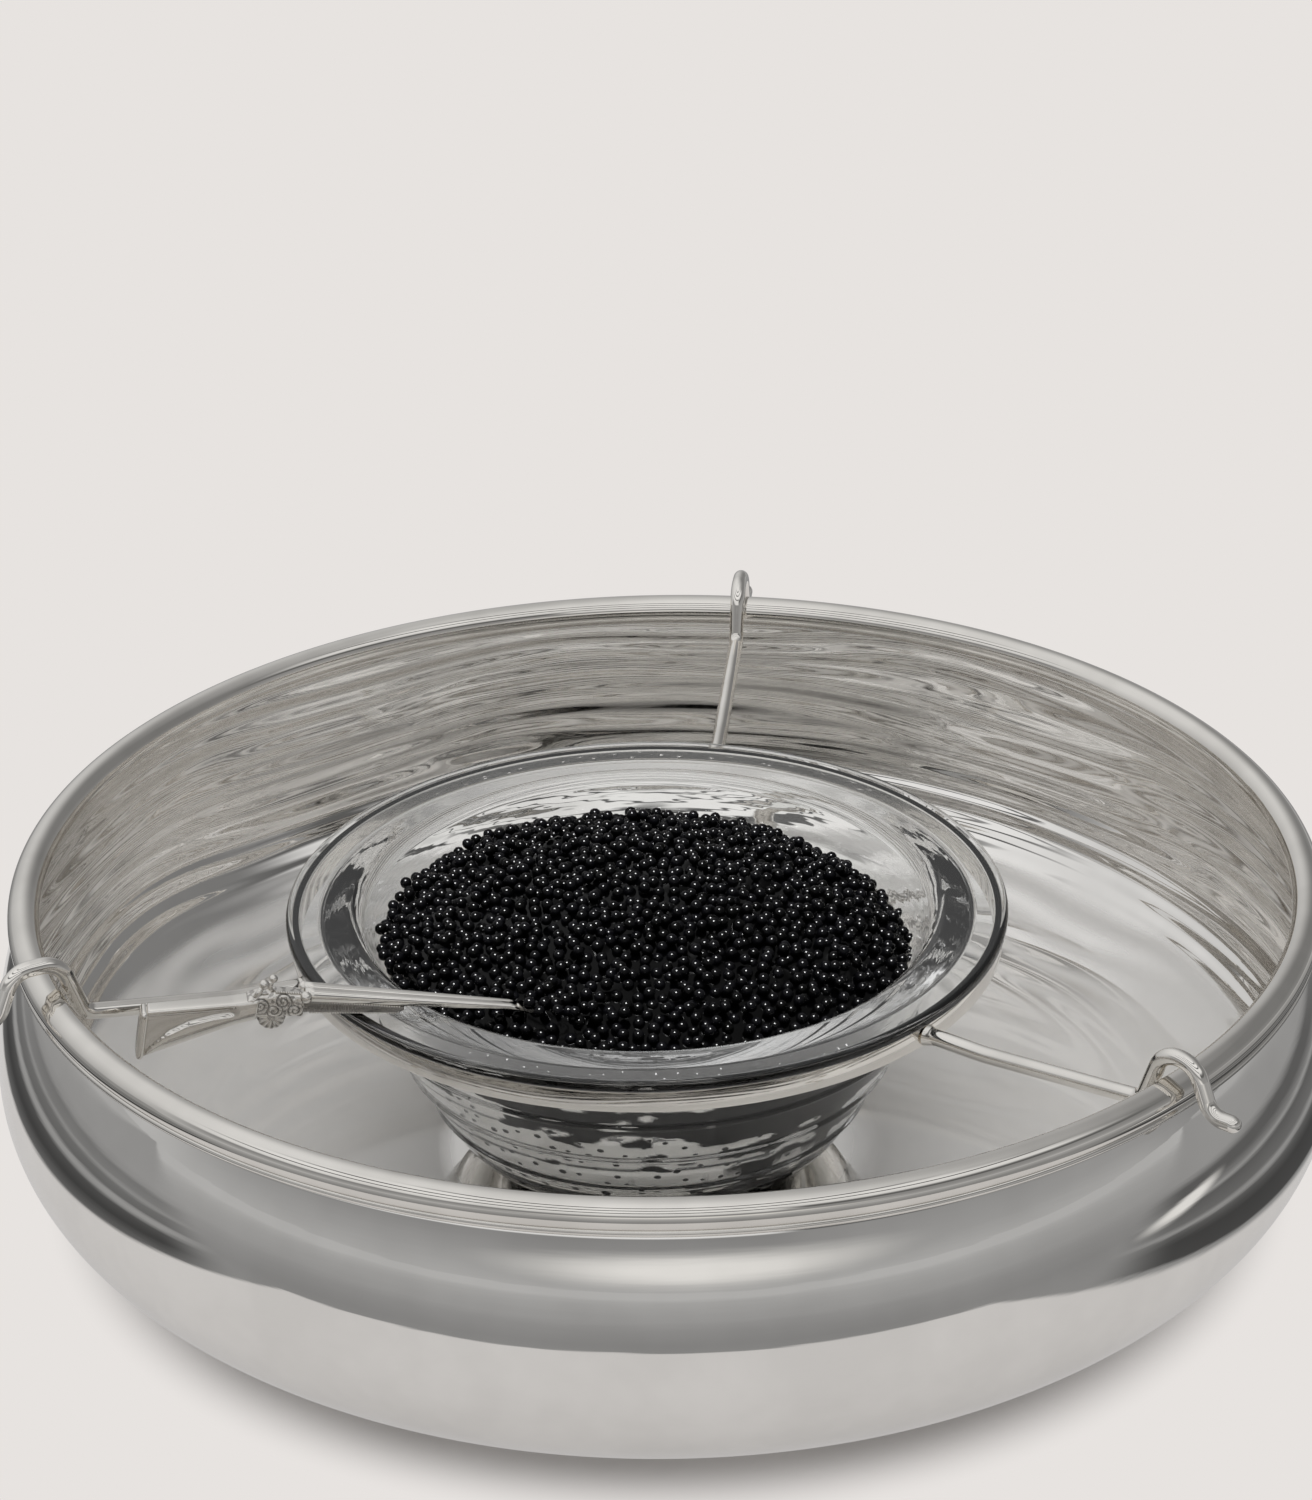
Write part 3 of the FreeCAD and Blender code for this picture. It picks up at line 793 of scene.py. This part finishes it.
# What mirrors see of the room above the board, set to match the photograph's reflections
world = bpy.data.worlds.new("studio")
bpy.context.scene.world = world
world.use_nodes = True
sky = world.node_tree
sky.nodes.clear()
way = add(sky, "ShaderNodeSeparateXYZ", Vector=add(sky, "ShaderNodeTexCoord").outputs["Generated"])
steep = add(sky, "ShaderNodeMath", {"operation": "ARCSINE"}, i0=way.outputs["Z"])
height = add(sky, "ShaderNodeMath", {"operation": "DIVIDE"}, i0=steep.outputs[0], i1=math.pi / 2).outputs[0]
forwards = add(sky, "ShaderNodeMath", {"operation": "MULTIPLY"}, i0=way.outputs["Y"], i1=-1.0)
round_about = add(sky, "ShaderNodeMath", {"operation": "ARCTAN2"}, i0=way.outputs["X"],
                  i1=forwards.outputs[0])
heading = add(sky, "ShaderNodeMath", {"operation": "DIVIDE"}, i0=round_about.outputs[0],
              i1=math.pi).outputs[0]


def by_height(stops):
    """Brightness of the room against the elevation in degrees."""
    return ramp(sky, height, [(degrees / 90, tone) for degrees, tone in stops], "LINEAR")


def part_of(value, low, high):
    """From 0 at low to 1 at high, eased."""
    return add(sky, "ShaderNodeMapRange", {"interpolation_type": "SMOOTHSTEP"}, Value=value, i1=low, i2=high,
               i3=0.0, i4=1.0).outputs[0]


def either(share, first, second):
    """The first colour where share is 0 and the second where it is 1."""
    return add(sky, "ShaderNodeMix", {"data_type": "RGBA"}, Factor=share, i6=first, i7=second).outputs[2]


# Heading 0 is the camera's side, 0.5 the right and 1 or -1 the far side.
# Thin dark stripes run through the lit ceiling from 50 degrees up.
ceiling = [(50, 0.92), (51.5, 0.08), (54, 0.08), (55.5, 0.90), (66, 0.92), (67.5, 0.10), (70, 0.10),
           (71.5, 0.90), (90, 0.85)]
front_left = by_height([(0, 0.44), (5, 0.38), (13, 0.29), (17, 0.26), (20, 0.45), (23, 0.78), (34, 0.84),
                        (35.5, 0.10), (38, 0.10), (39.5, 0.90)] + ceiling)
front_right = by_height([(0, 0.44), (5, 0.36), (13, 0.31), (17, 0.30), (21, 0.30), (25, 0.13), (29, 0.12),
                         (33, 0.30), (38, 0.80), (50, 0.90)] + ceiling[1:])
far_left = by_height([(0, 0.52), (15, 0.62), (36, 0.76), (60, 0.80), (75, 0.80), (90, 0.85)])
far_right = by_height([(0, 0.28), (15, 0.22), (36, 0.22), (60, 0.44), (75, 0.66), (90, 0.85)])
front = either(part_of(heading, 0.085, 0.13), front_left, front_right)
far = either(part_of(way.outputs["X"], -0.35, 0.45), far_left, far_right)
room = either(part_of(way.outputs["Y"], 0.10, -0.25), far, front)
# a soft lamp, low behind the camera
from_lamp = add(sky, "ShaderNodeCombineXYZ", X=heading, Y=height)
to_lamp = add(sky, "ShaderNodeMapping", {"vector_type": "TEXTURE"}, Vector=from_lamp.outputs[0],
              Location=(4 / 180, 6.6 / 90, 0), Scale=(34 / 180, 6.4 / 90, 1))
lamp_edge = add(sky, "ShaderNodeVectorMath", {"operation": "LENGTH"}, i0=to_lamp.outputs[0]).outputs["Value"]
seen = either(part_of(lamp_edge, 1.15, 0.2), room, (0.84, 0.83, 0.81, 1))
room_light = add(sky, "ShaderNodeBackground", Color=seen, Strength=1.0)
# matt surfaces are lit mostly from overhead, so the shadow stays close under the bowl
overhead = by_height([(0, 0.30), (35, 0.42), (52, 1.25), (90, 1.98)])
plain_light = add(sky, "ShaderNodeBackground", Color=overhead, Strength=1.0)
path = add(sky, "ShaderNodeLightPath")
mirror = add(sky, "ShaderNodeMath", {"operation": "MAXIMUM"}, i0=path.outputs["Is Glossy Ray"],
             i1=path.outputs["Is Transmission Ray"])
both = add(sky, "ShaderNodeMixShader", Fac=mirror.outputs[0], i1=plain_light.outputs[0],
           i2=room_light.outputs[0])
sky_out = sky.nodes.new("ShaderNodeOutputWorld")
sky.links.new(both.outputs[0], sky_out.inputs["Surface"])

# A soft lamp high over the bowl gives each wet pearl its point of light. It lights the roe alone.
lamp_data = bpy.data.lights.new("point_of_light", "AREA")
lamp_data.shape = "DISK"
lamp_data.size, lamp_data.energy = 0.50, 80.0
lamp = bpy.data.objects.new("point_of_light", lamp_data)
bpy.context.scene.collection.objects.link(lamp)
lamp.location = (-0.12, -0.22, 1.25)
lamp.rotation_euler = (Vector((0, 0, 0.06)) - lamp.location).to_track_quat("-Z", "Y").to_euler()
lit_roe = bpy.data.collections.new("lit_roe")
for item in bpy.data.objects:
    if item.name.startswith("roe_pearls"):
        lit_roe.objects.link(item)
lamp.light_linking.receiver_collection = lit_roe

# Light goes back and forth between the dish's glass and the silver many times
light_paths = bpy.context.scene.cycles
light_paths.max_bounces = light_paths.transmission_bounces = 16
light_paths.glossy_bounces = 10

# The camera stands at the photograph's angle
right = Vector((0.99988, -0.00693, -0.01410))
above = Vector((0.01571, 0.44085, 0.89749))
behind = right.cross(above)
camera_data = bpy.data.cameras.new("camera")
camera_data.lens, camera_data.sensor_width = 100.2, 36.0
camera_data.clip_start, camera_data.clip_end = 0.01, 50
camera = bpy.data.objects.new("camera", camera_data)
bpy.context.scene.collection.objects.link(camera)
turned = Matrix((right, above, behind)).transposed().to_4x4()
camera.matrix_world = Matrix.Translation((-0.0014, -0.7079, 0.4354)) @ turned
bpy.context.scene.camera = camera
bpy.context.scene.view_settings.view_transform = "Standard"
